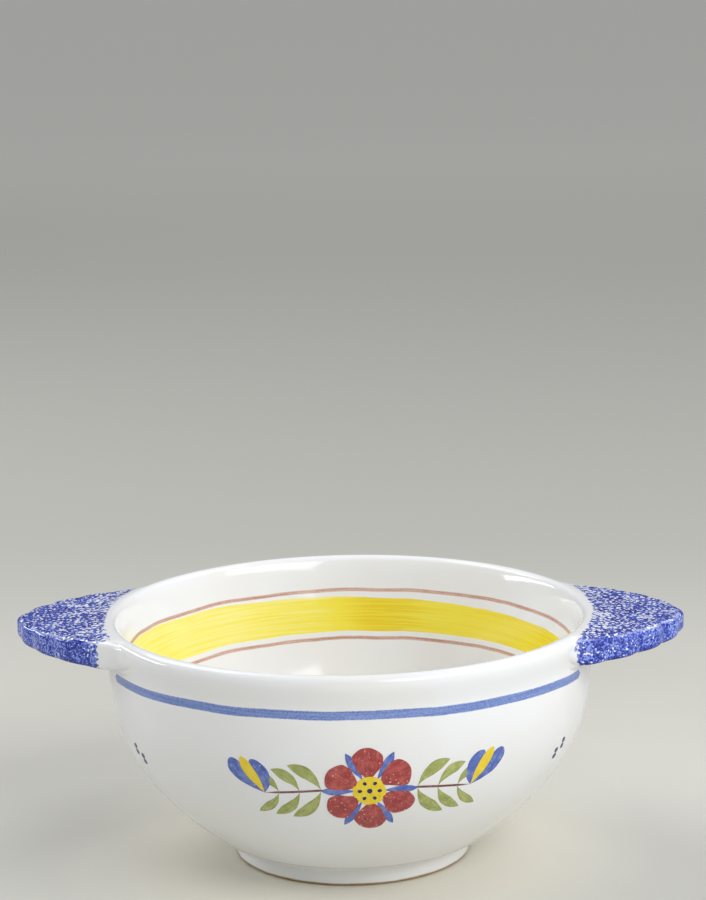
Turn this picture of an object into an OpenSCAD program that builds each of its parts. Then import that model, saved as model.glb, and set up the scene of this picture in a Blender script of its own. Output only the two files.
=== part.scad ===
// Lug bowl: a round footed bowl of glazed earthenware with two scalloped lugs.
// Frame: millimetres, +Z up, origin on the table under the bowl's axis, lugs along X, front at -Y.
// The clay pieces are made one by one and luted together with beds of slip.

/* [Bowl] */
// Diameter over the rounded lip
rim_d = 140; // [120:1:170]
// Height from the table to the top of the lip
bowl_h = 70; // [60:1:85]
// Radius of the rounded lip
lip_r = 2.3; // [1.8:0.1:3]
// How far the lip stands out from the wall below it
lip_overhang = 1.7; // [0.8:0.1:2.5]
// Depth below the top of the lip at which the wall runs upright
neck_drop = 10; // [8:0.5:14]
// Wall thickness at that depth
wall_t = 5.3; // [4:0.1:6.5]
// Lean of the inner wall at that depth, in degrees from upright
wall_lean = 18.4; // [10:0.2:22]
// Lean of the inner wall where it leaves the lip
throat_lean = 12; // [4:1:16]
// Thickness of the floor in the middle
floor_t = 5; // [4:0.1:8]
// Slope of the belly where it leaves the base, in degrees
belly_angle = 36; // [30:1:42]
// Length of belly that keeps that slope
belly_low = 36.5; // [32:0.5:40]
// Length of wall that stays upright under the lip
belly_high = 14; // [8:1:18]

/* [Foot] */
// Outer diameter of the foot ring
foot_d = 67; // [56:1:76]
// Height of the foot, from the table to the underside of the bowl
foot_h = 7; // [6.5:0.1:10]
// Width of the foot ring
foot_w = 4.8; // [3.5:0.1:7]
// Rounding of the two lower edges of the foot ring
foot_edge_r = 0.9; // [0.4:0.1:1.4]
// Radius of the turned cove where the ring spreads to meet the bowl
foot_cove_r = 4.4; // [3:0.1:5]

/* [Lugs] */
// How far each lug reaches out from the lip
lug_reach = 24.5; // [16:0.5:30]
// Width of each lug where it meets the lip
lug_root_w = 63; // [48:1:72]
// Roundness of the lug's pointed outline, 1 for straight sides
lug_round = 1.5; // [1.1:0.05:2]
// Size of the hollow curve that leads from the lip into the lug on its soft side
lug_fillet_soft = 4; // [2:0.25:5]
// Size of the hollow curve on its crisp side
lug_fillet_crisp = 3; // [3:0.25:5]
// Thickness of each lug at the wall
lug_root_t = 7.9; // [6:0.1:10]
// Thickness of each lug at its tip
lug_tip_t = 5.9; // [5:0.1:8]
// Depth of the lug's top face below the top of the lip
lug_drop = 0.8; // [0.1:0.1:1.2]
// Rounding of the lug's edge
lug_edge_r = 1.7; // [1:0.1:2]
// Number of scallops round each lug
lug_lobes = 9; // [5:2:13]
// Depth of the crisp scallops on one side of each lug
scallop_crisp = 1.5; // [0.4:0.1:2]
// Depth of the soft scallops on its other side
scallop_soft = 0.4; // [0.1:0.1:1]
// Reach of the cove under each lug, along the lug
lug_cove = 3; // [2:0.25:5]

/* [Slip] */
// Thickness of the beds of slip that lute the pieces together
slip_t = 0.5; // [0.3:0.1:0.8]

/* [Hidden] */
$fn = 180;

// Straight stretches that stand for one curve of the wall, the lip or a foot edge
wall_steps = 28;
lip_steps = 14;
edge_steps = 6;
cove_steps = 12;
// Stations along a lug's outline, and rows across its top face and its underside
lug_stations = 72;
lug_rows = 5;

// Radii and heights that the pieces share
rim_r = rim_d / 2;
lip_centre_r = rim_r - lip_r;
lip_z = bowl_h - lip_r;
neck_r = rim_r - lip_overhang;
neck_z = bowl_h - neck_drop;
foot_r = foot_d / 2;
foot_top_z = foot_h - slip_t;
floor_z = foot_h + floor_t;
// Flat ledge left on the underside outside the foot's cove
base_ledge = 1;
base_r = foot_r + foot_cove_r + base_ledge;
// Draft of the foot ring's inner face, over its height
foot_draft = 0.8;
// Sweep of the foot's cove, in degrees, which stops short of a feather edge
foot_cove_sweep = 80;
// Outer radius of the foot ring's top face
foot_seat_r = foot_r + foot_cove_r * (1 - cos(foot_cove_sweep));

// Handles of the curves under the lip and inside the bowl
cove_handle = 2.6;
lip_handle = 2.4;
heel_handle = 31;
floor_handle = 57;

// Azimuth, from the lug's middle, at which its outline would cross the lip without a fillet
lug_half_angle = asin(lug_root_w / 2 / rim_r);
// Azimuth at which the outline has run out into the lip, and its share of the one above
lug_end_share = 1.36;
lug_end_angle = lug_half_angle * lug_end_share;
lug_top_z = bowl_h - lug_drop;
// The blank's outline sinks this far into the lip, so that its ends run out
lug_dive = 0.5;
// Reach at which the lug has its full thickness, and reach at which its scallops have their full depth
lug_full_reach = 3;
scallop_full_reach = 7;
// Thickness of the lug's ends, which lie within the lip, this much above its underside
lug_end_rise = 0.3;
lug_end_t = 2 * lip_r - lug_drop - lug_end_rise;
// Most of the lug's thickness that the rounding of its edge may take up
lug_edge_share = 0.48;
// Depth of the cove under the lug, where it meets the wall
lug_cove_depth = lug_cove / 2;
// Power by which the rows of the underside crowd towards the wall
row_crowding = 1.5;
// The blank starts this far inside the wall, before it is scribed to the wall
lug_tail = 3;
// The part of the wall that a lug is scribed to starts this far below the lug
scribe_below = 6;

function bezier(a, b, c, d, steps) = [
    for (i = [0 : steps])
        let (t = i / steps, u = 1 - t)
            u * u * u * a + 3 * u * u * t * b + 3 * u * t * t * c + t * t * t * d
];

function arc(centre, r, from, to, steps) = [
    for (i = [0 : steps])
        let (angle = from + (to - from) * i / steps)
            centre + r * [cos(angle), sin(angle)]
];

// Outside of the bowl, from the edge of its flat base up to the outermost point of the lip
function belly_curve() = bezier(
    [base_r, foot_h],
    [base_r + belly_low * cos(belly_angle), foot_h + belly_low * sin(belly_angle)],
    [neck_r, neck_z - belly_high],
    [neck_r, neck_z],
    wall_steps);

function lip_cove_curve() = bezier(
    [neck_r, neck_z],
    [neck_r, neck_z + cove_handle],
    [rim_r, lip_z - lip_handle],
    [rim_r, lip_z],
    lip_steps);

function outside_curve() = concat(belly_curve(), [for (i = [1 : lip_steps]) lip_cove_curve()[i]]);

// Rounded lip, from its outermost point over the top to its inner point
function lip_curve() = arc([lip_centre_r, lip_z], lip_r, 0, 180 - throat_lean, lip_steps);

// Step down a wall that leans inwards
function lean_step(lean, length) = length * [-sin(lean), -cos(lean)];

// Inside of the bowl, from the lip down to the middle of the floor
function inside_curve() =
    let (
        lip_point = lip_curve()[lip_steps],
        neck_point = [neck_r - wall_t, neck_z],
        throat = (lip_point[1] - neck_z) / 3)
    concat(
        bezier(lip_point, lip_point + lean_step(throat_lean, throat),
               neck_point - lean_step(wall_lean, throat), neck_point, lip_steps),
        bezier(neck_point, neck_point + lean_step(wall_lean, heel_handle), [floor_handle, floor_z], [0, floor_z],
               wall_steps));

function without_first(points) = [for (i = [1 : len(points) - 1]) points[i]];

module bowl_body() {
    color("ivory")
        rotate_extrude()
            polygon(concat(
                [[0, foot_h]],
                outside_curve(),
                without_first(lip_curve()),
                without_first(inside_curve())));
}

// Foot ring: flat below, rounded at its edges, spreading in a cove to its seat under the bowl
module foot_ring() {
    inner_r = foot_r - foot_w;
    color("ivory")
        rotate_extrude()
            polygon(concat(
                arc([inner_r + foot_edge_r, foot_edge_r], foot_edge_r, 180, 270, edge_steps),
                arc([foot_r - foot_edge_r, foot_edge_r], foot_edge_r, 270, 360, edge_steps),
                arc([foot_r + foot_cove_r, foot_top_z - foot_cove_r], foot_cove_r, 180,
                    180 - foot_cove_sweep, cove_steps),
                [[foot_seat_r, foot_top_z], [inner_r - foot_draft, foot_top_z]]));
}

module foot_slip_bed() {
    inner_r = foot_r - foot_w - foot_draft;
    color("linen")
        translate([0, 0, foot_top_z])
            rotate_extrude()
                polygon([
                    [inner_r, 0],
                    [foot_seat_r, 0],
                    [foot_seat_r, slip_t],
                    [inner_r, slip_t]]);
}

// A size that changes smoothly from the lug's soft side to its crisp side, -Y on the right lug
function across_lug(azimuth, soft, crisp) = soft + (crisp - soft) * (1 - sin(90 * azimuth / lug_end_angle)) / 2;

// Reach of the lug beyond the lip at an azimuth, before scallops: a pointed arch with hollow roots
function arch_reach(azimuth) = lug_reach * (1 - pow(abs(azimuth) / lug_half_angle, lug_round));

function hollow_reach(azimuth) =
    let (
        reach = arch_reach(azimuth),
        fillet = across_lug(azimuth, lug_fillet_soft, lug_fillet_crisp))
    (reach + sqrt(reach * reach + fillet * fillet)) / 2;

// Scallops fade out towards the roots
function scallop(azimuth) =
    let (
        pitch = 2 * lug_half_angle / lug_lobes,
        depth = across_lug(azimuth, scallop_soft, scallop_crisp),
        fade = min(1, hollow_reach(azimuth) / scallop_full_reach))
    depth * fade * (abs(cos(180 * azimuth / pitch)) - 1 / 2);

function lug_outline_r(azimuth) = rim_r - lug_dive + hollow_reach(azimuth) + scallop(azimuth);

// Thickness at a radius on the line from the axis that meets the outline at that azimuth
function lug_thickness(azimuth, r) =
    let (
        out = max(0, r - rim_r),
        slab = lug_root_t + (lug_tip_t - lug_root_t) * out / lug_reach,
        full = min(1, hollow_reach(azimuth) / lug_full_reach))
    lug_end_t + (slab - lug_end_t) * full;

// Extra depth of the cove under the lug, close to the wall
function cove_depth(azimuth, r) =
    let (
        near = max(0, 1 - max(0, r - neck_r) / lug_cove),
        full = min(1, hollow_reach(azimuth) / lug_full_reach))
    full * near * near * lug_cove_depth;

// Section of the lug blank at one azimuth, from its tail over the top, round the edge and back underneath
function lug_section(azimuth) =
    let (
        tail_r = neck_r - lug_tail,
        edge_r = min(lug_edge_r, lug_thickness(azimuth, lug_outline_r(azimuth)) * lug_edge_share),
        flat_r = lug_outline_r(azimuth) - edge_r,
        edge_t = lug_thickness(azimuth, flat_r),
        low_z = lug_top_z - edge_t + edge_r)
    concat(
        [for (j = [0 : lug_rows - 1])
            [tail_r + (flat_r - tail_r) * j / lug_rows, lug_top_z]],
        arc([flat_r, lug_top_z - edge_r], edge_r, 90, 0, edge_steps),
        arc([flat_r, low_z], edge_r, 0, -90, edge_steps),
        [for (j = [lug_rows - 1 : -1 : 0])
            let (r = tail_r + (flat_r - tail_r) * pow(j / lug_rows, row_crowding))
            [r, lug_top_z - lug_thickness(azimuth, r) - cove_depth(azimuth, r)]]);

// Lug as pressed, at +X, with a tail that runs into the wall
module lug_blank() {
    sections = [for (i = [0 : lug_stations])
        let (azimuth = lug_end_angle * (2 * i / lug_stations - 1))
        [for (p = lug_section(azimuth)) [p[0] * cos(azimuth), p[0] * sin(azimuth), p[1]]]];
    count = len(sections[0]);
    corners = [for (section = sections) each section];
    sides = [for (i = [0 : lug_stations - 1], j = [0 : count - 1])
        let (
            a = i * count + j,
            b = a + count,
            c = (i + 1) * count + (j + 1) % count,
            d = i * count + (j + 1) % count)
        each [[a, b, c], [a, c, d]]];
    last = lug_stations * count;
    ends = [for (j = [1 : count - 2]) each [[0, j, j + 1], [last, last + j + 1, last + j]]];
    polyhedron(corners, concat(sides, ends));
}

// Everything inside the wall's outer face, moved out by a clearance, over the height of a lug
module wall_envelope(clearance) {
    low_z = lug_top_z - lug_root_t - lug_cove - scribe_below;
    face = concat(
        [for (p = outside_curve()) if (p[1] > low_z) p],
        [for (p = without_first(lip_curve())) if (p[0] > lip_centre_r) p]);
    rotate_extrude()
        polygon(concat(
            [[0, face[0][1]]],
            [for (p = face) [p[0] + clearance, p[1]]],
            [[lip_centre_r + clearance, bowl_h + slip_t], [0, bowl_h + slip_t]]));
}

// Lug scribed to the wall, with room for its bed of slip
module lug() {
    difference() {
        lug_blank();
        wall_envelope(slip_t);
    }
}

// Slip between the wall's outer face and the lug's scribed face
module lug_slip_bed() {
    difference() {
        intersection() {
            lug_blank();
            wall_envelope(slip_t);
        }
        wall_envelope(0);
    }
}

module right_lug() { color("royalblue") lug(); }
module right_lug_slip_bed() { color("linen") lug_slip_bed(); }
// The left lug comes from the same mould, turned half round
module left_lug() { color("royalblue") rotate([0, 0, 180]) lug(); }
module left_lug_slip_bed() { color("linen") rotate([0, 0, 180]) lug_slip_bed(); }

bowl_body();
foot_ring();
foot_slip_bed();
left_lug();
left_lug_slip_bed();
right_lug();
right_lug_slip_bed();
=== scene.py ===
# Lug bowl: the packed clay pieces get their glazes, painted bands and brush-stroke flowers.
# Frame: metres, +Z up, lugs along X, front at -Y. Sizes below are in millimetres times mm.
import math

import bpy
import numpy as np
from mathutils import Matrix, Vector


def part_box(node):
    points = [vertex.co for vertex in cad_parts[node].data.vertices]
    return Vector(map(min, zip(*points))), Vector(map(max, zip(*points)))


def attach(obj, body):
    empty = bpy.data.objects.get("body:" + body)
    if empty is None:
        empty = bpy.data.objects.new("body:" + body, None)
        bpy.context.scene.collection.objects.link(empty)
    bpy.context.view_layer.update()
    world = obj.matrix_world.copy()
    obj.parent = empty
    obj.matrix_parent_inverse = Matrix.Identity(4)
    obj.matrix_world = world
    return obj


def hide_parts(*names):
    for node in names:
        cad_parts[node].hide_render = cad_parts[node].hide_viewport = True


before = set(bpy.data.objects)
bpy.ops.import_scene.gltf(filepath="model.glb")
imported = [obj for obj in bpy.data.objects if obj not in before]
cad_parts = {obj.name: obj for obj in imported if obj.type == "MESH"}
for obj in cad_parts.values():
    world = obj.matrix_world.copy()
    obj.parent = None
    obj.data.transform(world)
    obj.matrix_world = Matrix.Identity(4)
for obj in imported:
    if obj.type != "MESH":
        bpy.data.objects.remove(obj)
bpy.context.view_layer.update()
mm = 0.001

bowlLow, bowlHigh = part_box("bowl_body")
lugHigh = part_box("right_lug")[1]
rimR = min(bowlHigh.x, bowlHigh.y)
bowlH = bowlHigh.z
baseZ = bowlLow.z


# Mesh helpers

def bezier(a, b, c, d, steps):
    t = np.linspace(0, 1, steps + 1)[:, None]
    u = 1 - t
    a, b, c, d = (np.array(p, float) for p in (a, b, c, d))
    return u**3 * a + 3 * u * u * t * b + 3 * u * t * t * c + t**3 * d


def arc(centre, radius, start, end, steps):
    angle = np.radians(np.linspace(start, end, steps + 1))
    return np.array(centre) + radius * np.stack([np.cos(angle), np.sin(angle)], -1)


def smoothStep(x):
    x = np.clip(x, 0, 1)
    return x * x * (3 - 2 * x)


def skin(rings, wrapRings=False):
    # Quads between closed rings of equal length, each ring an array of points
    count, size = rings.shape[:2]
    index = np.arange(count * size).reshape(count, size)
    nextRing = np.roll(index, -1, 0) if wrapRings else index[1:]
    thisRing = index if wrapRings else index[:-1]
    quads = np.stack([thisRing, np.roll(thisRing, -1, 1), np.roll(nextRing, -1, 1), nextRing], -1)
    return quads.reshape(-1, 4).tolist()


def makePiece(name, points, faces, material, replaced=()):
    mesh = bpy.data.meshes.new(name)
    mesh.from_pydata(np.asarray(points).reshape(-1, 3).tolist(), [], faces)
    mesh.validate()
    mesh.shade_smooth()
    mesh.materials.append(material)
    piece = bpy.data.objects.new(name, mesh)
    bpy.context.scene.collection.objects.link(piece)
    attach(piece, "root")
    if replaced:
        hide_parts(*replaced)
    return piece


def addValues(piece, name, values):
    values = np.asarray(values, np.float32)
    isVector = values.ndim == 2
    kind, key = ("FLOAT_VECTOR", "vector") if isVector else ("FLOAT", "value")
    attribute = piece.data.attributes.new(name, kind, "POINT")
    attribute.data.foreach_set(key, values.ravel())


# Shader helpers

def tone(red, green, blue):
    # A colour in screen values from 0 to 255, as the shader wants it
    def linear(value):
        value = value / 255
        return value / 12.92 if value <= 0.04045 else ((value + 0.055) / 1.055) ** 2.4
    return (linear(red), linear(green), linear(blue), 1)


class Wire:
    # A shader socket that can be used in sums
    def __init__(self, tree, socket):
        self.tree = tree
        self.socket = socket

    def node(self, kind, settings=None, sockets=None, output=0):
        made = self.tree.nodes.new(kind)
        for key, value in (settings or {}).items():
            setattr(made, key, value)
        for key, value in (sockets or {}).items():
            if isinstance(value, Wire):
                self.tree.links.new(value.socket, made.inputs[key])
            else:
                made.inputs[key].default_value = value
        return Wire(self.tree, made.outputs[output])

    def math(self, operation, *values):
        return self.node("ShaderNodeMath", {"operation": operation}, dict(enumerate(values)))

    def __add__(self, other):
        return self.math("ADD", self, other)

    def __sub__(self, other):
        return self.math("SUBTRACT", self, other)

    def __rsub__(self, other):
        return self.math("SUBTRACT", other, self)

    def __mul__(self, other):
        return self.math("MULTIPLY", self, other)

    def __truediv__(self, other):
        return self.math("DIVIDE", self, other)

    def __abs__(self):
        return self.math("ABSOLUTE", self)

    __radd__ = __add__
    __rmul__ = __mul__

    def step(self, low, high, start=0.0, end=1.0):
        # A soft step from start to end as this value goes from low to high
        return self.node("ShaderNodeMapRange", {"interpolation_type": "SMOOTHSTEP"},
                         {"Value": self, "From Min": low, "From Max": high, "To Min": start, "To Max": end})

    def mix(self, first, second):
        # The first colour where this value is 0, the second where it is 1
        return self.node("ShaderNodeMix", {"data_type": "RGBA"}, {"Factor": self, 6: first, 7: second}, 2)

    def stretch(self, x, y, z):
        return self.node("ShaderNodeVectorMath", {"operation": "MULTIPLY"}, {0: self, 1: (x, y, z)})

    def noise(self, size, detail=2.0, rough=0.5):
        # Cloudy values about 0.5, with features of that size in the units of this vector
        return self.node("ShaderNodeTexNoise", {}, {"Vector": self, "Scale": 1 / size, "Detail": detail,
                                                    "Roughness": rough})

    def split(self):
        return [self.node("ShaderNodeSeparateXYZ", {}, {0: self}, axis) for axis in range(3)]

    def joined(self, y, z):
        return self.node("ShaderNodeCombineXYZ", {}, {0: self, 1: y, 2: z})


def newFinish(name, fixed):
    # A material with its fixed sockets set, its shader, and the place on the object in millimetres
    material = bpy.data.materials.new(name)
    material.use_nodes = True
    tree = material.node_tree
    shader = tree.nodes["Principled BSDF"]
    for key, value in fixed.items():
        shader.inputs[key].default_value = value
    start = Wire(tree, None)
    place = start.node("ShaderNodeTexCoord", output=3).stretch(1000, 1000, 1000)
    return material, shader, place


def feed(shader, **wires):
    for key, wire in wires.items():
        wire.tree.links.new(wire.socket, shader.inputs[key.replace("_", " ")])


def bump(height, distance, strength=1.0):
    return height.node("ShaderNodeBump", {}, {"Height": height, "Distance": distance, "Strength": strength})


# Camera: the photo's oblique view, on a frame 706 pixels wide and 900 high

camera = {
    "lens": 104.58,
    "distance": 718.7 * mm,
    "height": 255.6 * mm,
    "pitch": 10.984,   # degrees below level
    "turn": 0.159,
    "roll": 1.05,
    "round": 2.0,      # degrees that the camera stands round to the bowl's right
}


def makeCamera():
    data = bpy.data.cameras.new("camera")
    data.lens = camera["lens"]
    data.sensor_width = 36
    data.clip_end = 100
    eye = bpy.data.objects.new("camera", data)
    bpy.context.scene.collection.objects.link(eye)
    eye.matrix_world = (
        Matrix.Rotation(math.radians(camera["round"]), 4, "Z")
        @ Matrix.Translation((0, -camera["distance"], camera["height"]))
        @ Matrix.Rotation(math.radians(-camera["turn"]), 4, "Z")
        @ Matrix.Rotation(math.radians(90 - camera["pitch"]), 4, "X")
        @ Matrix.Rotation(math.radians(-camera["roll"]), 4, "Z"))
    bpy.context.scene.camera = eye


makeCamera()
print("camera placed")


# Bowl: the same curves as the clay piece, turned finely

bowl = {
    "lipR": 2.3 * mm,
    "overhang": 1.7 * mm,
    "neckDrop": 10 * mm,
    "coveHandle": 2.6 * mm,
    "lipHandle": 2.4 * mm,
    "wallT": 5.3 * mm,
    "wallLean": 18.4,
    "throatLean": 24,
    "heelHandle": 31 * mm,
    "floorT": 5 * mm,
    "floorHandle": 57 * mm,
    "baseR": 38.9 * mm,
    "bellyAngle": 36,
    "bellyLow": 36.5 * mm,
    "bellyHigh": 14 * mm,
    "turns": 320,       # points round the bowl
}
lipCentre = np.array([rimR - bowl["lipR"], bowlH - bowl["lipR"]])
neckR = rimR - bowl["overhang"]
neckZ = bowlH - bowl["neckDrop"]
floorZ = baseZ + bowl["floorT"]


def bellyCurve(steps):
    slope = math.radians(bowl["bellyAngle"])
    low = np.array([bowl["baseR"], baseZ])
    return bezier(low, low + bowl["bellyLow"] * np.array([math.cos(slope), math.sin(slope)]),
                  (neckR, neckZ - bowl["bellyHigh"]), (neckR, neckZ), steps)


def lipCoveCurve(steps):
    return bezier((neckR, neckZ), (neckR, neckZ + bowl["coveHandle"]),
                  (rimR, lipCentre[1] - bowl["lipHandle"]), (rimR, lipCentre[1]), steps)


def lipCurve(steps):
    return arc(lipCentre, bowl["lipR"], 0, 180 - bowl["throatLean"], steps)


def leanStep(lean, length):
    # A step down a wall that leans inwards
    return -length * np.array([math.sin(math.radians(lean)), math.cos(math.radians(lean))])


def insideCurve(throatSteps, wallSteps):
    lipPoint = lipCurve(1)[-1]
    neckPoint = np.array([neckR - bowl["wallT"], neckZ])
    throat = (lipPoint[1] - neckZ) / 3
    upper = bezier(lipPoint, lipPoint + leanStep(bowl["throatLean"], throat),
                   neckPoint - leanStep(bowl["wallLean"], throat), neckPoint, throatSteps)
    lower = bezier(neckPoint, neckPoint + leanStep(bowl["wallLean"], bowl["heelHandle"]),
                   (bowl["floorHandle"], floorZ), (0, floorZ), wallSteps)
    return np.vstack([upper, lower[1:]])


outsideLine = np.vstack([bellyCurve(400), lipCoveCurve(60)[1:]])
insideLine = insideCurve(60, 600)


def turned(profile, turns):
    # Rings round the axis, one for each point of the profile
    angle = np.linspace(0, 2 * math.pi, turns, endpoint=False)
    r, z = profile[:, 0:1], profile[:, 1:2]
    return np.stack([r * np.cos(angle), r * np.sin(angle), z + 0 * angle], -1)


def makeBowl(material):
    underside = np.stack([np.linspace(1 * mm, bowl["baseR"], 9), np.full(9, baseZ)], -1)
    outside = np.vstack([underside, bellyCurve(70)[1:], lipCoveCurve(20)[1:]])
    lip = lipCurve(28)[1:]
    inside = insideCurve(14, 110)[1:-1]
    profile = np.vstack([outside, lip, inside])
    rings = turned(profile, bowl["turns"])
    points = np.vstack([rings.reshape(-1, 3), [(0, 0, baseZ), (0, 0, floorZ)]])
    faces = skin(rings)
    last = len(points) - 1
    turns = bowl["turns"]
    start = (len(profile) - 1) * turns
    for i in range(turns):
        j = (i + 1) % turns
        faces.append([i, last - 1, j])
        faces.append([start + i, start + j, last])
    piece = makePiece("glazed_bowl", points, faces, material, ("bowl_body",))
    isInside = np.zeros(len(profile))
    isInside[len(outside) + len(lip) // 2:] = 1
    addValues(piece, "inside", np.append(np.repeat(isInside, turns), (0, 1)))
    return piece


# White glaze: creamy tin white, with the painted bands on the bowl

glaze = {
    "white": tone(240, 242, 245),
    "cream": tone(238, 238, 237),
    "shine": {"Roughness": 0.09, "IOR": 1.52},
}
bands = {
    "yellowTop": bowlH / mm - 11.75,
    "yellowLow": bowlH / mm - 22.2,
    "yellowDrift": (-0.018, 0.012),     # how much its edges climb along +X
    "yellowThin": tone(251, 241, 132),
    "yellow": tone(248, 231, 72),
    "yellowFull": tone(238, 208, 36),
    "lapStart": math.radians(72),
    "lapEnd": math.radians(92),
    "lines": ((bowlH / mm - 9.85, 0.006), (bowlH / mm - 23.95, 0.01)),   # height, climb along +X
    "lineHalf": 0.52,
    "line": tone(182, 122, 100),
    "lineThin": tone(219, 181, 163),
    "stripeHeight": 59.35,
    "stripeHalf": 1.3,
    "stripeDroop": 1.8,   # how far its ends hang below its middle
    "stripeEnd": 70,    # degrees from the front or the back
    "stripe": tone(86, 112, 186),
    "stripeThin": tone(140, 162, 214),
}


def whiteColour(place):
    drift = place.noise(38, 2).step(0.35, 0.7)
    return drift.mix(glaze["white"], glaze["cream"])


def glazeNormal(place):
    ripple = place.noise(9, 2) + 0.25 * place.noise(1.6, 1)
    return bump(ripple, 0.06 * mm, 0.5)


def bandedGlaze():
    material, shader, place = newFinish("banded_glaze", glaze["shine"])
    x, y, z = place.split()
    around = y.math("ARCTAN2", y, x)
    inside = place.node("ShaderNodeAttribute", {"attribute_name": "inside"}, {}, 2)
    turn = x.math("COSINE", around).joined(x.math("SINE", around), 0 * x)   # no seam behind the bowl
    wobble = (turn.noise(0.35, 2) - 0.5) * 1.1
    height = z + wobble
    # Long hair lines left by the brush, along the turn of the wheel
    rise = x.joined(x, z * 1.7).stretch(0, 0, 1)
    hair = turn.node("ShaderNodeVectorMath", {"operation": "ADD"}, {0: turn.stretch(1.6, 1.6, 0), 1: rise})
    streak = hair.noise(0.9, 3, 0.6)
    fine = hair.stretch(2, 2, 2.6).noise(0.9, 2, 0.6)
    grain = place.noise(0.5, 2)
    topDrift, lowDrift = bands["yellowDrift"]
    below = bands["yellowTop"] + x * topDrift - height
    above = height - bands["yellowLow"] - x * lowDrift
    edge = below.math("MINIMUM", below, above) + (fine - 0.5) * 0.7
    yellowMask = edge.step(0, 0.45) * inside
    ragged = around + (fine - 0.5) * 0.35      # the brush laps over its own start here
    lap = (ragged - bands["lapStart"]).step(-0.08, 0.1) * (bands["lapEnd"] - ragged).step(-0.12, 0.1)
    density = streak * 0.5 + fine * 0.4 + turn.noise(0.6, 2) * 0.35 + x * 0.0032 + lap * 0.2 - 0.22
    yellow = density.step(0.15, 0.45).mix(bands["yellowThin"], bands["yellow"])
    yellow = density.step(0.45, 0.75).mix(yellow, bands["yellowFull"])
    colour = (yellowMask * density.step(0.0, 0.4, 0.86, 1.0)).mix(whiteColour(place), yellow)
    lineTone = (fine * 0.6 + grain * 0.4).step(0.35, 0.65).mix(bands["lineThin"], bands["line"])
    for lineHeight, climb in bands["lines"]:
        offset = abs(height - lineHeight - x * climb) + (grain - 0.5) * 0.25
        mask = (bands["lineHalf"] - offset).step(-0.12, 0.2) * inside
        colour = (mask * 0.92).mix(colour, lineTone)
    fromFront = abs(abs(y.math("ARCTAN2", x, y)) - math.pi / 2) * (180 / math.pi)
    toEnd = (fromFront - (90 - bands["stripeEnd"])) * 1.2
    blunt = (1 - toEnd.step(0, 2.2)) * bands["stripeHalf"]
    sag = (1 - fromFront / 90) * (1 - fromFront / 90) * (1.5 * bands["stripeDroop"])
    stripeEdge = bands["stripeHalf"] - blunt - abs(height + sag - bands["stripeHeight"]) + (grain - 0.5) * 0.2
    stripeMask = stripeEdge.step(-0.05, 0.25) * (1 - inside)
    stripeTone = (grain * 0.5 + fine * 0.5).step(0.3, 0.7).mix(bands["stripeThin"], bands["stripe"])
    colour = stripeMask.mix(colour, stripeTone)
    rough = place.noise(14, 2).step(0.3, 0.7, 0.07, 0.12)
    feed(shader, Base_Color=colour, Roughness=rough, Normal=glazeNormal(place))
    return material


bowlPiece = makeBowl(bandedGlaze())
print("bowl turned", len(bowlPiece.data.vertices))


# Foot ring: glazed down to a wiped edge of bare clay

foot = {
    "outerR": 33.5 * mm,
    "width": 4.8 * mm,
    "edgeR": 0.9 * mm,
    "coveR": 4.4 * mm,
    "draft": 0.8 * mm,
    "seat": 0.4 * mm,      # how far it runs on into the bowl, so that glaze bridges the joint
    "bareHeight": 0.7,
    "clay": tone(198, 168, 108),
    "clayDark": tone(146, 118, 66),
    "turns": 240,
}


def footGlaze():
    material, shader, place = newFinish("foot_glaze", {"IOR": 1.5})
    x, y, z = place.split()
    grain = place.noise(0.35, 3, 0.65)
    level = z + (place.noise(6, 2) - 0.5) * 0.45 + (grain - 0.5) * 0.2
    bare = 1 - level.step(foot["bareHeight"] - 0.15, foot["bareHeight"] + 0.15)
    rim = 1 - abs(level - foot["bareHeight"]).step(0, 0.35)
    clay = grain.step(0.3, 0.7).mix(foot["clayDark"], foot["clay"])
    colour = bare.mix(whiteColour(place), clay)
    colour = (rim * 0.45).mix(colour, foot["clayDark"])
    rough = bare.step(0, 1, 0.1, 0.75)
    normal = bump(place.noise(9, 2) + bare * grain * 1.5, 0.06 * mm, 0.6)
    feed(shader, Base_Color=colour, Roughness=rough, Normal=normal)
    return material


def makeFoot(material):
    outerR, edgeR, coveR = foot["outerR"], foot["edgeR"], foot["coveR"]
    innerR = outerR - foot["width"]
    seat = baseZ + foot["seat"]
    coveTop = baseZ - 0.3 * mm
    profile = np.vstack([
        arc((innerR + edgeR, edgeR), edgeR, 180, 270, 8),
        arc((outerR - edgeR, edgeR), edgeR, 270, 360, 8),
        arc((outerR + coveR, coveTop - coveR), coveR, 180, 100, 14),
        [(outerR + coveR, seat), (innerR - foot["draft"], seat)],
        [(innerR - foot["draft"], baseZ - 1 * mm), (innerR - foot["draft"] / 3, edgeR * 2.4)]])
    rings = turned(profile, foot["turns"])
    return makePiece("glazed_foot", rings, skin(rings, True), material,
                     ("foot_ring", "foot_slip_bed"))


makeFoot(footGlaze())
print("foot ring turned")


# Lugs: the lip drawn out into scalloped ears, sponged with cobalt

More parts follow.
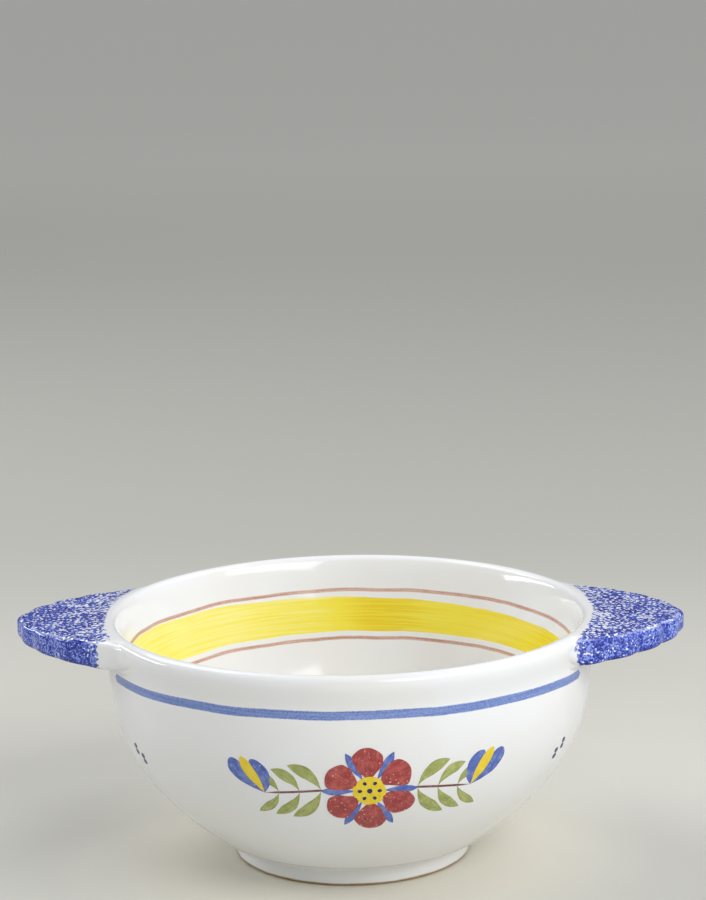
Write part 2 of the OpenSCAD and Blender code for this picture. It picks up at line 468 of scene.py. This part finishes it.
lug = {
    "reach": lugHigh.x - rimR - 0.11 * mm,   # ends a hair inside the clay lug
    "rootW": 63 * mm,
    "round": 1.5,
    "filletSoft": 4 * mm,
    "filletCrisp": 2.4 * mm,
    "rootT": 7.9 * mm,
    "tipT": 5.9 * mm,
    "drop": 0.8 * mm,
    "edgeR": 1.7 * mm,
    "lobes": 9,
    "crisp": 1.5 * mm,
    "soft": 0.4 * mm,
    "cove": 3 * mm,
    "dive": 0.5 * mm,
    "tail": 0.5 * mm,      # how far its underside runs on into the wall
    "settle": 6 * mm,      # way over which its top sinks from the lip
    "tuck": (0.06 * mm, 0.04 * mm),   # how far its ends lie inside the lip
    "scallopReach": 7 * mm,
    # shares of the root's azimuth: where its ends start to sink, its soft end, its crisp end
    "runOut": (0.9, 1.36, 1.17),
    "stations": 260,
    "topRows": 26,
    "edgeRows": 12,
    "lowRows": 20,
}
lugHalfAngle = math.asin(lug["rootW"] / 2 / rimR)
lugEndAngle = lugHalfAngle * lug["runOut"][1]


def acrossLug(azimuth, soft, crisp):
    # A size that changes from the lug's soft side to its crisp side
    return soft + (crisp - soft) * (1 - np.sin(math.pi / 2 * azimuth / lugEndAngle)) / 2


def hollowReach(azimuth):
    # Reach beyond the lip: a pointed arch whose roots run out in hollows
    arch = lug["reach"] * (1 - (np.abs(azimuth) / lugHalfAngle) ** lug["round"])
    fillet = acrossLug(azimuth, lug["filletSoft"], lug["filletCrisp"])
    return (arch + np.sqrt(arch * arch + fillet**2)) / 2


def scallop(azimuth):
    pitch = 2 * lugHalfAngle / lug["lobes"]
    depth = acrossLug(azimuth, lug["soft"], lug["crisp"])
    fade = np.minimum(1, hollowReach(azimuth) / lug["scallopReach"])
    return depth * fade * (np.abs(np.cos(math.pi * azimuth / pitch)) - 0.5)


def lugSection(azimuth):
    # Closed loop of (radius, height) at one azimuth, from the lip's crest round the edge and back underneath
    begin, softEnd, crispEnd = (share * lugHalfAngle for share in lug["runOut"])
    end = softEnd if azimuth > 0 else crispEnd
    blend = float(smoothStep((end - abs(azimuth)) / (end - begin)))
    outR = rimR - lug["dive"] + float(hollowReach(azimuth)) + float(scallop(azimuth))
    topZ = bowlH - lug["drop"]

    def thickness(r):
        return lug["rootT"] + (lug["tipT"] - lug["rootT"]) * np.maximum(0, r - rimR) / lug["reach"]

    edgeR = lug["edgeR"]
    flatR = outR - edgeR
    lowZ = topZ - float(thickness(flatR))
    crestR = lipCentre[0]
    topR = np.linspace(crestR, flatR, lug["topRows"])
    settle = smoothStep((topR - crestR) / lug["settle"])
    top = np.stack([topR, bowlH - lug["drop"] * settle], -1)
    upper = arc((flatR, topZ - edgeR), edgeR, 90, 0, lug["edgeRows"])
    lower = arc((flatR, lowZ + edgeR), edgeR, 0, -90, lug["edgeRows"])
    tailR = neckR - lug["tail"]
    lowR = tailR + (flatR - tailR) * np.linspace(1, 0, lug["lowRows"]) ** 1.5
    near = np.maximum(0, 1 - np.maximum(0, lowR - neckR) / lug["cove"])
    low = np.stack([lowR, topZ - thickness(lowR) - near**2 * lug["cove"] / 2], -1)
    shape = np.vstack([top, upper[1:], lower, low[1:]])
    # The lip's own outer face, a hair inside it, for the ends to run out into
    lip = np.vstack([arc(lipCentre, bowl["lipR"], 90, 0, 24), lipCoveCurve(24)[::-1]]) - lug["tuck"]
    share = np.linspace(0, 1, len(shape))
    lipR = np.interp(share, np.linspace(0, 1, len(lip)), lip[:, 0])
    lipZ = np.interp(share, np.linspace(0, 1, len(lip)), lip[:, 1])
    loop = np.stack([lipR, lipZ], -1) * (1 - blend) + shape * blend
    loop[0, 1] -= 0.02 * mm
    core = np.array([[crestR - 1 * mm, loop[-1, 1]], [crestR - 1 * mm, bowlH - 0.6 * mm]])
    return np.vstack([loop, core])


def makeLug(name, material, half, replaced):
    azimuths = np.linspace(-lugEndAngle, lugEndAngle, lug["stations"])
    sections = [lugSection(a) for a in azimuths]
    rings = np.stack([
        np.stack([s[:, 0] * math.cos(a + half), s[:, 0] * math.sin(a + half), s[:, 1]], -1)
        for a, s in zip(azimuths, sections)])
    size = rings.shape[1]
    faces = [face[::-1] for face in skin(rings)]
    faces.append(list(range(size)))
    faces.append(list(range(rings.shape[0] * size - 1, (rings.shape[0] - 1) * size - 1, -1)))
    piece = makePiece(name, rings, faces, material, replaced)
    down = np.concatenate([np.zeros(lug["topRows"] - 1), np.linspace(0, 1, 2 * lug["edgeRows"] + 2),
                           np.ones(lug["lowRows"] - 1), (1, 0)])
    addValues(piece, "down", np.tile(down, len(azimuths)))
    return piece


# Sponged cobalt: dabs of blue with flecks of white between, ragged where they stop at the lip

sponge = {
    "deep": tone(24, 30, 132),
    "blue": tone(56, 76, 188),
    "pale": tone(136, 158, 232),
    "bare": tone(236, 240, 250),
    "start": 68.8,        # radius in millimetres where the dabs begin
    "startGrowth": 0.0025,   # and its growth with the turn in degrees squared
    "ends": 26.0,         # degrees from the dabs' middle where they stop at the lug's roots
    "shift": 2.2,         # degrees that they lie round towards the crisp side
    "dab": 1.25,          # size of the flecks
    "speck": 0.55,
}


def spongedGlaze():
    material, shader, place = newFinish("sponged_glaze", {"IOR": 1.52})
    x, y, z = place.split()
    radius = (x * x + y * y).math("SQRT", x * x + y * y)
    turn = abs(x.math("ARCTAN2", y * x.math("SIGN", x), abs(x)) * (180 / math.pi) + sponge["shift"])
    down = place.node("ShaderNodeAttribute", {"attribute_name": "down"}, {}, 2)
    dab = place.noise(sponge["dab"], 1.5, 0.55)
    speck = place.noise(sponge["speck"], 1, 0.5)
    patch = place.noise(6, 2)
    comb = place.noise(1.1, 2, 0.6) - 0.5
    onset = (radius - sponge["start"] - turn * turn * sponge["startGrowth"] + comb * 2.6).step(-0.2, 0.2)
    root = (sponge["ends"] - turn + comb * 2.4).step(-0.15, 0.15)
    covered = onset * root
    onSide = down.step(0.1, 0.35)
    # Wider gaps towards the lip and few on the edge, which the sponge went over twice
    inner = (radius - sponge["start"]).step(0, 20, 0.05, -0.06)
    pore = place.node("ShaderNodeTexVoronoi", {}, {"Vector": place, "Scale": 1 / sponge["dab"]})
    openness = (speck - 0.5) * 0.7 + (patch - 0.5) * 0.5 + inner - onSide * 0.24 - pore
    gap = openness.step(-0.44, -0.38)
    calm = speck + (0.5 - speck) * onSide * 0.15
    # Blue depth from the dabs, with painted shade: paler at the top of the side face and darker towards its
    # bottom, where it turns under
    depth = calm * 0.7 + dab * 0.3 + (patch - 0.5) * 0.2 - down.step(0.4, 0.95, -0.04, 0.09) * onSide
    blue = depth.step(0.42, 0.5).mix(sponge["deep"], sponge["blue"])
    blue = depth.step(0.52, 0.6).mix(blue, sponge["pale"])
    colour = gap.mix(blue, sponge["bare"])
    # A painted highlight: a pale broken line along the lug's upper edge, where the lamps behind would glint
    paintedEdgeHighlight = (1 - abs(down - 0.2).step(0.02, 0.14)) * patch.step(0.36, 0.52)
    colour = (paintedEdgeHighlight * 0.35).mix(colour, sponge["bare"])
    colour = covered.mix(whiteColour(place), colour)
    rough = dab.step(0.3, 0.7, 0.08, 0.14)
    peel = place.noise(2.2, 2) + 0.3 * dab
    feed(shader, Base_Color=colour, Roughness=rough, Normal=bump(peel, 0.05 * mm, 0.5))
    return material


lugFinish = spongedGlaze()
makeLug("sponged_right_lug", lugFinish, 0, ("right_lug", "right_lug_slip_bed"))
makeLug("sponged_left_lug", lugFinish, math.pi, ("left_lug", "left_lug_slip_bed"))
print("lugs drawn out")


# Brush strokes: thin raised films of enamel that follow the glaze under them

brush = {
    "rows": 26,            # points along a stroke
    "lanes": 9,            # points across it
    "film": 0.02 * mm,     # height of a film's edge, and how much higher its middle is
    "crown": 0.025 * mm,
    "sunk": 0.08 * mm,     # how far its underside lies in the glaze
    "hair": 0.04 * mm,     # half the width of a stroke's finest end
    "coat": 0.03 * mm,     # how much higher each later layer lies
}


def swell(kind, t):
    # Width along a stroke, as a share of its greatest width
    if kind == "leaf":
        shape = t**1.6 * (1 - t)**0.95
    elif kind == "petal":
        shape = t**1.1 * (1 - t)**0.6
    elif kind == "comma":
        shape = t**0.35 * (1 - t)**0.9
    elif kind == "dot":
        shape = np.sqrt(t * (1 - t))
    else:
        shape = np.minimum(1, 8 * t) * np.minimum(1, 5 * (1 - t))
    return shape / shape.max()


def onWall(points):
    # Points moved level onto the outside of the bowl, with the way that the wall faces there
    angle = np.arctan2(points[..., 1], points[..., 0])
    z = np.clip(points[..., 2], outsideLine[0, 1], outsideLine[-1, 1])
    r = np.interp(z, outsideLine[:, 1], outsideLine[:, 0])
    slope = np.interp(z, outsideLine[:, 1], np.gradient(outsideLine[:, 0], outsideLine[:, 1]))
    facing = np.stack([np.cos(angle), np.sin(angle), -slope], -1) / np.sqrt(1 + slope**2)[..., None]
    return np.stack([r * np.cos(angle), r * np.sin(angle), z], -1), facing


def onFloor(points):
    # Points moved upright onto the inside of the bowl, with the way that it faces there
    angle = np.arctan2(points[..., 1], points[..., 0])
    r = np.hypot(points[..., 0], points[..., 1])
    lineR, lineZ = insideLine[61:][::-1].T
    z = np.interp(r, lineR, lineZ)
    slope = np.interp(r, lineR, np.gradient(lineZ, lineR))
    facing = np.stack([-slope * np.cos(angle), -slope * np.sin(angle), 1 + 0 * slope], -1)
    return np.stack([points[..., 0], points[..., 1], z], -1), facing / np.sqrt(1 + slope**2)[..., None]


def wallPlace(turn):
    # Places on the wall: millimetres along it from that azimuth, and height
    def place(flat):
        z = flat[:, 1] * mm
        r = np.interp(z, outsideLine[:, 1], outsideLine[:, 0])
        angle = math.radians(turn) + flat[:, 0] * mm / r
        return np.stack([r * np.cos(angle), r * np.sin(angle), z], -1)
    return place


def floorPlace(flat):
    return np.stack([flat[:, 0] * mm, flat[:, 1] * mm, 0 * flat[:, 0]], -1)


def strokeRings(stroke, place, settle, seed, layer):
    kind, width, start, via, end = stroke
    t = (1 - np.cos(np.linspace(0, math.pi, brush["rows"]))) / 2      # closer rows at both ends
    start, via, end = (np.array(p, float) for p in (start, via, end))
    bow = 2 * via - (start + end) / 2        # the curve passes through via
    flat = (1 - t)[:, None]**2 * start + 2 * ((1 - t) * t)[:, None] * bow + t[:, None]**2 * end
    middle, facing = settle(place(flat))
    along = np.gradient(middle, axis=0)
    along /= np.linalg.norm(along, axis=1)[:, None]
    across = np.cross(facing, along)
    lane = np.linspace(1, -1, brush["lanes"])
    phase = np.random.default_rng(seed).uniform(0, 2 * math.pi, 4)
    half = np.maximum(width * mm / 2 * swell(kind, t), brush["hair"])
    leftEdge = 1 + 0.05 * np.sin(7 * t + phase[0]) + 0.03 * np.sin(19 * t + phase[1])
    rightEdge = 1 + 0.05 * np.sin(6 * t + phase[2]) + 0.03 * np.sin(17 * t + phase[3])
    reach = np.where(lane > 0, leftEdge[:, None], rightEdge[:, None]) * half[:, None] * lane
    bed, facing = settle(middle[:, None] + across[:, None] * reach[..., None])
    lift = brush["film"] + brush["coat"] * layer
    crown = lift + brush["crown"] * (1 - lane**2) * np.minimum(1, half / (1 * mm))[:, None]
    film = bed + facing * crown[..., None]
    under = (bed - facing * brush["sunk"])[:, ::-1]
    length = np.concatenate([[0], np.cumsum(np.linalg.norm(np.diff(middle, axis=0), axis=1))])
    drag = np.stack([length[:, None] + 0 * reach, reach, 0 * reach + seed * 10 * mm], -1) / mm
    rim = half[:, None] * (1 - np.abs(lane)) / mm
    return (np.concatenate([film, under], 1), np.concatenate([drag, drag[:, ::-1]], 1),
            np.concatenate([rim, rim[:, ::-1]], 1))


def paint(name, strokes, place, settle, ink, layer=0):
    points, faces, drags, rims = [], [], [], []
    for seed, stroke in enumerate(strokes):
        rings, drag, rim = strokeRings(stroke, place, settle, seed, layer)
        count, size = rings.shape[:2]
        first = len(points) * count * size
        last = first + (count - 1) * size
        faces += [[first + corner for corner in face] for face in skin(rings)]
        faces.append(list(range(first + size - 1, first - 1, -1)))
        faces.append(list(range(last, last + size)))
        points.append(rings.reshape(-1, 3))
        drags.append(drag.reshape(-1, 3))
        rims.append(rim.ravel())
    piece = makePiece(name, np.vstack(points), faces, inks[ink])
    piece.data.set_sharp_from_angle(angle=math.radians(35))
    addValues(piece, "drag", np.vstack(drags))
    addValues(piece, "rim", np.concatenate(rims))
    return piece


# Enamels: streaked along the brush, thin in places and pooled at the edges

enamels = {
    "leaf": {"thin": tone(188, 194, 124), "main": tone(158, 166, 92), "pool": tone(126, 134, 62),
             "specks": 0.4, "slot": "green_enamel"},
    "maroon": {"thin": tone(194, 98, 90), "main": tone(162, 60, 60), "pool": tone(126, 40, 44),
               "specks": 0.7, "slot": "maroon_enamel"},
    "yellow": {"thin": tone(243, 220, 72), "main": tone(238, 208, 34), "pool": tone(222, 186, 20),
               "specks": 0, "slot": "yellow_enamel"},
    "orange": {"thin": tone(244, 178, 82), "main": tone(232, 146, 40), "pool": tone(206, 112, 22),
               "specks": 0.2, "slot": "yellow_enamel"},
    "blue": {"thin": tone(128, 148, 206), "main": tone(84, 108, 186), "pool": tone(54, 72, 156),
             "specks": 0.5, "slot": "blue_glaze"},
    "navy": {"thin": tone(42, 46, 112), "main": tone(28, 30, 92), "pool": tone(24, 26, 78),
             "specks": 0, "slot": "blue_glaze"},
    "stem": {"thin": tone(158, 112, 98), "main": tone(122, 70, 62), "pool": tone(90, 46, 44),
             "specks": 0.3, "slot": "maroon_enamel"},
}
pinhole = {"size": 0.55, "level": 0.7}   # specks where the glaze shows through


def enamel(name):
    hues = enamels[name]
    material, shader, place = newFinish(name + "_enamel", {"IOR": 1.52})
    drag = place.node("ShaderNodeAttribute", {"attribute_name": "drag"}, {}, 1)
    rim = place.node("ShaderNodeAttribute", {"attribute_name": "rim"}, {}, 2)
    streak = drag.stretch(0.14, 1.5, 1).noise(1, 3, 0.6)
    cloud = drag.noise(2.2, 2)
    grain = place.noise(0.4, 2)
    density = streak * 0.5 + cloud * 0.6 + grain * 0.2
    colour = density.step(0.45, 0.72).mix(hues["thin"], hues["main"])
    colour = (density.step(0.7, 0.86) * 0.7).mix(colour, hues["pool"])
    edge = (1 - rim.step(0.02, 0.3)) * grain.step(0.35, 0.6)
    colour = (edge * 0.6).mix(colour, hues["pool"])
    speck = place.noise(pinhole["size"], 1).step(pinhole["level"], pinhole["level"] + 0.04)
    colour = (speck * hues["specks"]).mix(colour, glaze["white"])
    rough = streak.step(0.3, 0.7, 0.08, 0.13)
    feed(shader, Base_Color=colour, Roughness=rough, Normal=glazeNormal(place))
    return material


inks = {name: enamel(name) for name in enamels}


# Motifs that the sprigs and the posy share

dots = {
    "places": ((-1.6, 1.95), (-1.6, 0.2), (1.6, -0.2), (1.6, -1.95)),   # two short columns, one lower
    "length": 1.5,
    "thick": 2.0,
    "slant": 0.35,
}


def dotMark(x, y, hand):
    # Four slanting dabs; hand is 1 or -1 and says which column is the lower one
    marks = []
    for across, up in dots["places"]:
        middle = np.array((x + hand * across, y + up))
        half = np.array((hand * dots["slant"], -dots["length"] / 2))
        marks.append(("dot", dots["thick"], middle - half, middle, middle + half))
    return marks


def bothHands(strokes):
    return [(kind, width, *(np.array(p, float) * (hand, 1) for p in points))
            for kind, width, *points in strokes for hand in (1, -1)]


def roundFlower(flower, kind, width, inner, outer, turn=0.0, bow=0.0):
    # Petals round a heart, each bowed a little to one side
    strokes = []
    for i in range(flower["petals"]):
        angle = 2 * math.pi * (i + turn) / flower["petals"] + math.pi / 2
        out = np.array((math.cos(angle), math.sin(angle)))
        aside = np.array((-out[1], out[0]))
        at = np.array(flower["at"])
        via = at + (inner + outer) / 2 * out + bow * aside
        strokes.append((kind, width, at + inner * out, via, at + outer * out))
    return strokes


def disc(at, size):
    at = np.array(at, float)
    half = np.array((0, size / 2))
    return ("dot", size, at - half, at, at + half)


def leafSpray(root, tip, pairs, length):
    # Leaves in pairs along a stem, shorter towards its tip
    root, tip = np.array(root, float), np.array(tip, float)
    along = (tip - root) / np.linalg.norm(tip - root)
    strokes = []
    for i in range(pairs):
        foot = root + (tip - root) * (i + 0.3) / pairs
        size = length * (1 - 0.12 * i)
        for hand in (1, -1):
            aside = hand * np.array((along[1], -along[0]))
            end = foot + size * (0.72 * along + 0.7 * aside)
            via = foot + size * (0.26 * along + 0.42 * aside)
            strokes.append(("leaf", 0.3 * size, foot, via, end))
    return strokes


def budStrokes(bud):
    # Two outer petals that lean apart
    at = np.array(bud["at"], float)
    strokes = []
    for hand in (1, -1):
        tip = at + bud["length"] * np.array((bud["lean"] * 0.5 + hand * 0.3, 1))
        via = (at + tip) / 2 + np.array((hand * 1.5, 0))
        strokes.append(("petal", bud["width"], at, via, tip))
    return strokes


# Sprigs on the outside: a round flower between two leafy branches that end in buds

sprig = {
    "turn": camera["round"] - 86,     # azimuth of its middle; the other one is opposite
    "flower": {"at": (0, 38), "petals": 6, "inner": 3.2, "outer": 12.5, "width": 8.4, "heart": 8.6},
    "rays": {"width": 2.4, "outer": 12.8},
    "beads": {"count": 6, "size": 1.1, "inner": 2, "outer": 3.2, "middle": 1.6},
    "stemW": 0.7,
    "branch": ((11, 38.4), (28, 36.6), 3, 11.5),    # root, tip, pairs of leaves, length of the first
    "bud": {"at": (28, 36.6), "lean": 1.5, "length": 9.5, "width": 4.4},
    "budHeart": (3.2, (3.3, 4.8), (7.1, 10)),   # width, and steps from its foot to its middle and tip
    "dotTurns": (-66, 56),            # degrees from the sprig's middle
    "dotHeight": 38.5,
}


def paintSprig(side, turn):
    wall = wallPlace(turn)
    flower, rays, beads, bud = sprig["flower"], sprig["rays"], sprig["beads"], sprig["bud"]
    root, tip = sprig["branch"][:2]
    budAt = np.array(bud["at"])
    stems = bothHands([("line", sprig["stemW"], root, (np.array(root) + tip) / 2, tip)])
    buds = bothHands(budStrokes(bud))
    heartW, toMiddle, toTip = sprig["budHeart"]
    budHearts = bothHands([("petal", heartW, budAt, budAt + toMiddle, budAt + toTip)])
    rayStrokes = roundFlower(flower, "leaf", rays["width"], flower["inner"], rays["outer"], 0.5)
    petals = roundFlower(flower, "petal", flower["width"], flower["inner"], flower["outer"], 0, 0.5)
    ringFlower = dict(flower, petals=beads["count"])
    ring = roundFlower(ringFlower, "dot", beads["size"], beads["inner"], beads["outer"], 0.5)
    layers = (("stems", stems, "stem"), ("leaves", bothHands(leafSpray(*sprig["branch"])), "leaf"),
              ("buds", buds, "blue"), ("bud_hearts", budHearts, "yellow"), ("rays", rayStrokes, "blue"),
              ("petals", petals, "maroon"), ("heart", [disc(flower["at"], flower["heart"])], "yellow"),
              ("beads", ring + [disc(flower["at"], beads["middle"])], "navy"))
    for layer, (part, strokes, ink) in enumerate(layers):
        paint(side + "_sprig_" + part, strokes, wall, onWall, ink, layer * 0.6)
    for name, hand, dotTurn in zip(("left", "right"), (1, -1), sprig["dotTurns"]):
        spot = wallPlace(turn + dotTurn)
        paint(side + "_" + name + "_dots", dotMark(0, sprig["dotHeight"], hand), spot, onWall, "navy")


paintSprig("front", sprig["turn"])
paintSprig("back", sprig["turn"] + 180)
print("sprigs painted")


# Posy inside: a tied bunch of three flowers and two buds, the same on both hands

posy = {
    "tie": (0, -25),
    "main": {"at": (0, 8), "petals": 9, "inner": 4.2, "outer": 15.5, "width": 6.2, "heart": 9.6},
    "side": {"at": (26, 2), "petals": 7, "inner": 2.6, "outer": 10.5, "width": 4.6, "heart": 5.4},
    "bud": {"at": (14.5, 27), "lean": 0.35, "length": 11, "width": 4.4},
    "beads": 7,
    "sprays": (((0, -21), (0, -3), 4, 11), ((5, -17), (22, -5), 3, 9), ((8, 1), (13.5, 24), 3, 8.5)),
    # kind, greatest width, start, a point that it passes through, end
    "loose": (("leaf", 2.6, (2, -26), (10, -27.5), (19, -22)), ("leaf", 2.2, (31, 12), (37, 15), (38.5, 9))),
    "dots": ((38, -13), (35, 22), (23, -27)),
}


def paintPosy():
    tie = np.array(posy["tie"])
    main, side, bud = posy["main"], posy["side"], posy["bud"]
    sideAt, budAt = np.array(side["at"]), np.array(bud["at"])
    stems = [("line", 0.9, tie, (0.4, -8), main["at"])]
    stems += bothHands([("line", 0.8, tie, (11, -13), sideAt), ("line", 0.7, tie, (9.5, 0), budAt)])
    leaves = leafSpray(*posy["sprays"][0])
    for spray in posy["sprays"][1:]:
        leaves += bothHands(leafSpray(*spray))
    leaves += bothHands(posy["loose"])
    buds = bothHands(budStrokes(bud))
    budHearts = bothHands([("petal", 3.6, budAt, budAt + (1, 5.5), budAt + (2, 11.5))])
    sidePetals = bothHands(roundFlower(side, "petal", side["width"], side["inner"], side["outer"], 0, 0.9))
    underPetals = roundFlower(main, "leaf", 2.2, main["inner"], main["outer"] * 1.08, 0.5)
    mainPetals = roundFlower(main, "petal", main["width"], main["inner"], main["outer"])
    beads = dict(main, petals=posy["beads"])
    ring = roundFlower(beads, "dot", 1.3, 2.2, 3.6)
    ribbon = bothHands([("petal", 3.4, tie, (6.5, -24), (11, -29)), ("comma", 1.8, tie, (3, -31), (8, -36)),
                        ("comma", 1.4, tie, (1, -31), (2.4, -37))])
    marks = []
    for x, y in posy["dots"]:
        marks += bothHands(dotMark(x, y, 1))
    layers = (("stems", stems, "stem"), ("leaves", leaves, "leaf"), ("under_petals", underPetals, "orange"),
              ("bud_petals", buds, "orange"), ("bud_hearts", budHearts, "yellow"),
              ("side_petals", sidePetals, "blue"),
              ("side_hearts", bothHands([disc(sideAt, side["heart"])]), "orange"),
              ("main_petals", mainPetals, "maroon"),
              ("main_heart", [disc(main["at"], main["heart"])], "yellow"),
              ("beads", ring + bothHands([disc(sideAt, 1.8)]) + [disc(main["at"], 2)], "navy"),
              ("ribbon", ribbon, "blue"), ("dots", marks, "navy"))
    for layer, (part, strokes, ink) in enumerate(layers):
        paint("posy_" + part, strokes, floorPlace, onFloor, ink, layer * 0.6)


paintPosy()
print("posy painted")


# Floor and light

studio = {
    "floorR": 40,
    "floor": tone(210, 209, 202),
    "floorDark": tone(203, 202, 195),
    "floorPaintedShade": tone(184, 184, 178),
    "paintedShadeFrom": 60,        # millimetres behind the bowl where the floor's painted shade starts, and where it is full
    "paintedShadeTo": 420,
    "floorPaintedLightUnder": tone(228, 225, 213),  # painted light: paler round the foot, lifting the bowl's shade there, between these radii
    "paintedLightUnderFrom": 50,
    "paintedLightUnderTo": 92,
    "floorNear": tone(250, 249, 244),   # a pale sheet in front, which lights the bowl from below
    "nearFrom": -130,
    "nearTo": -240,
    "floorPaintedLight": tone(238, 238, 232),   # painted light: lighter again beyond the lamps' reach, between these distances
    "paintedLightFrom": 500,
    "paintedLightTo": 2600,
    "horizon": (0.37, 0.372, 0.372, 1),
    "zenith": (0.45, 0.455, 0.46, 1),
    "shade": (0.16, 0.16, 0.165, 1),    # low in the back of the room, which the lugs mirror
    "aim": (0, 0, 0.05),
    # name, azimuth and height in degrees, distance and size in metres, watts, whether the glaze mirrors it
    "lights": (
        ("key_box", -43.5, 37, 1.2, (1.04, 0.56), 7.4, True),
        ("left_strip", 160, 18.5, 1.2, (0.84, 0.14), 4.0, True),
        ("back_right_box", 32, 51, 1.2, (0.6, 0.6), 3.2, True),
        ("back_left_box", 144, 51, 1.2, (0.6, 0.6), 3.2, True),
        ("right_fill", -16, 8, 1.6, (1.2, 0.4), 3.2, False),
    ),
}


def floorPaper():
    material, shader, place = newFinish("floor_paper", {"Roughness": 0.7, "Specular IOR Level": 0.2})
    drift = place.noise(160, 3).step(0.35, 0.65)
    fibre = place.noise(0.8, 2)
    colour = (drift * 0.6 + fibre * 0.3).mix(studio["floor"], studio["floorDark"])
    x, behind, z = place.split()
    # Painted shade: the floor darkens behind the bowl, where the lamps' light falls off
    colour = behind.step(studio["paintedShadeFrom"], studio["paintedShadeTo"]).mix(colour, studio["floorPaintedShade"])
    # Painted light: the far floor lighter again, where the lamps no longer reach
    colour = behind.step(studio["paintedLightFrom"], studio["paintedLightTo"]).mix(colour, studio["floorPaintedLight"])
    colour = behind.step(studio["nearTo"], studio["nearFrom"]).mix(studio["floorNear"], colour)
    # Painted light round the foot, lifting the bowl's shade on the floor; it also bounces onto the foot
    radius = x.math("SQRT", x * x + behind * behind)
    colour = radius.step(studio["paintedLightUnderFrom"], studio["paintedLightUnderTo"]).mix(studio["floorPaintedLightUnder"], colour)
    feed(shader, Base_Color=colour, Normal=bump(fibre, 0.03 * mm, 0.3))
    return material


def makeFloor():
    turns, radii = 96, np.geomspace(0.05, studio["floorR"], 24)
    rings = turned(np.stack([radii, 0 * radii], -1), turns)
    mesh = bpy.data.meshes.new("floor")
    faces = skin(rings)
    faces.append(list(range(turns))[::-1])
    mesh.from_pydata(rings.reshape(-1, 3).tolist(), [], [face[::-1] for face in faces])
    mesh.materials.append(floorPaper())
    floor = bpy.data.objects.new("floor", mesh)
    bpy.context.scene.collection.objects.link(floor)


def makeLights():
    for name, azimuth, height, distance, size, watts, mirrored in studio["lights"]:
        data = bpy.data.lights.new(name, "AREA")
        data.shape = "RECTANGLE"
        data.size, data.size_y = size
        data.energy = watts
        lamp = bpy.data.objects.new(name, data)
        bpy.context.scene.collection.objects.link(lamp)
        lamp.matrix_world = (
            Matrix.Translation(studio["aim"])
            @ Matrix.Rotation(math.radians(azimuth + 90), 4, "Z")
            @ Matrix.Rotation(math.radians(90 - height), 4, "X")
            @ Matrix.Translation((0, 0, distance)))
        lamp.visible_camera = False
        lamp.visible_glossy = mirrored
    world = bpy.data.worlds.new("soft_room")
    world.use_nodes = True
    tree = world.node_tree
    y, rise = Wire(tree, None).node("ShaderNodeTexCoord").split()[1:]
    glow = rise.step(0, 0.9).mix(studio["horizon"], studio["zenith"])
    glow = (y.step(0.35, 0.85) * rise.step(0.3, 0.6, 1, 0)).mix(glow, studio["shade"])
    tree.links.new(glow.socket, tree.nodes["Background"].inputs["Color"])
    bpy.context.scene.world = world


makeFloor()
makeLights()
bpy.context.scene.view_settings.view_transform = "Standard"
print("studio lit")
